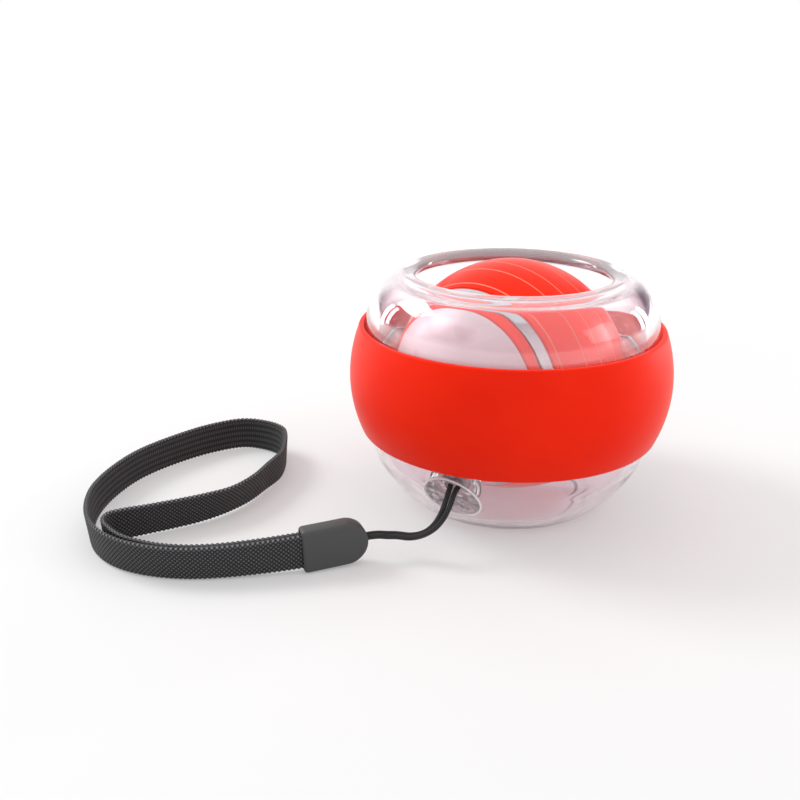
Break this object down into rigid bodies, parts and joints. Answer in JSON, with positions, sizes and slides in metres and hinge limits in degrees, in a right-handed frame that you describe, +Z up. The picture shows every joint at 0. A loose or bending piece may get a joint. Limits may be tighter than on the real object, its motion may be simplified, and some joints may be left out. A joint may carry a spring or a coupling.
{
  "type": "gyroscopic wrist ball",
  "caption": "Palm-sized gyroscopic wrist exerciser: a clear shell with a silicone grip round a spring-started rotor, and a webbing wrist strap on a cord.",
  "frame": {"origin": "centre of the ball's foot, on the surface that it stands on", "axes": "+Z up along the ball's axis, -Y towards the viewer of the picture, so the strap lies towards -X"},
  "size_m": [0.1253, 0.0757, 0.0538],
  "materials": {
    "clear_shell": "clear polished polycarbonate",
    "grip_silicone": "satin red-orange silicone",
    "rotor_red": "semi-gloss red plastic",
    "rotor_white": "smooth white plastic",
    "bright_steel": "turned and plated steel",
    "steel": "ground steel",
    "spring_steel": "blued spring steel",
    "brass": "plain bearing brass",
    "nylon": "natural nylon",
    "cap_plastic": "matte dark grey moulding with a fine grain",
    "webbing": "flat braided polyester webbing",
    "cord": "braided nylon cord"
  },
  "bodies": {
    "shell": {"upper_shell": "clear_shell", "lower_shell": "clear_shell", "grip_band": "grip_silicone", "strap_cap": "cap_plastic", "wrist_strap": "webbing", "lanyard_cord": "cord"},
    "gimbal": {"gimbal_ring": "nylon", "axle_bush_left": "brass", "axle_bush_right": "brass"},
    "axle": {"axle": "steel", "retaining_clip_left": "spring_steel", "retaining_clip_right": "spring_steel", "bearing_inner_left": "steel", "bearing_inner_right": "steel"},
    "arbor": {"spring_arbor": "steel", "clutch_roller_1": "steel", "clutch_roller_2": "steel", "clutch_roller_3": "steel", "clutch_roller_4": "steel", "clutch_roller_5": "steel"},
    "rotor": {"rotor_drum": "rotor_red", "spring_cover": "steel", "start_spring": "spring_steel", "weight_ring_left": "bright_steel", "weight_ring_right": "bright_steel", "side_plate_left": "rotor_red", "side_plate_right": "rotor_red", "end_cap_left": "rotor_white", "end_cap_right": "rotor_white", "bearing_outer_left": "steel", "bearing_outer_right": "steel", "bearing_cage_left": "brass", "bearing_cage_right": "brass", "rotor_screw_left_1": "steel", "rotor_screw_left_2": "steel", "rotor_screw_left_3": "steel", "rotor_screw_right_1": "steel", "rotor_screw_right_2": "steel", "rotor_screw_right_3": "steel"}
  },
  "joints": [
    {"name": "ring_precession", "type": "hinge", "parent": "shell", "child": "gimbal", "pos_m": [0, 0, 0.0288], "axis": [0, 0, 1], "continuous": true},
    {"name": "axle_roll", "type": "hinge", "parent": "gimbal", "child": "axle", "pos_m": [0, 0, 0.0288], "axis": [-0.6561, -0.7547, 0], "continuous": true},
    {"name": "clutch_freewheel", "type": "hinge", "parent": "axle", "child": "arbor", "pos_m": [0, 0, 0.0288], "axis": [-0.6561, -0.7547, 0], "continuous": true},
    {"name": "spring_windup", "type": "hinge", "parent": "arbor", "child": "rotor", "pos_m": [0, 0, 0.0288], "axis": [-0.6561, -0.7547, 0], "range_deg": [0, 540], "stiffness_Nm_per_rad": 0.003, "deforming": ["start_spring"]}
  ]
}
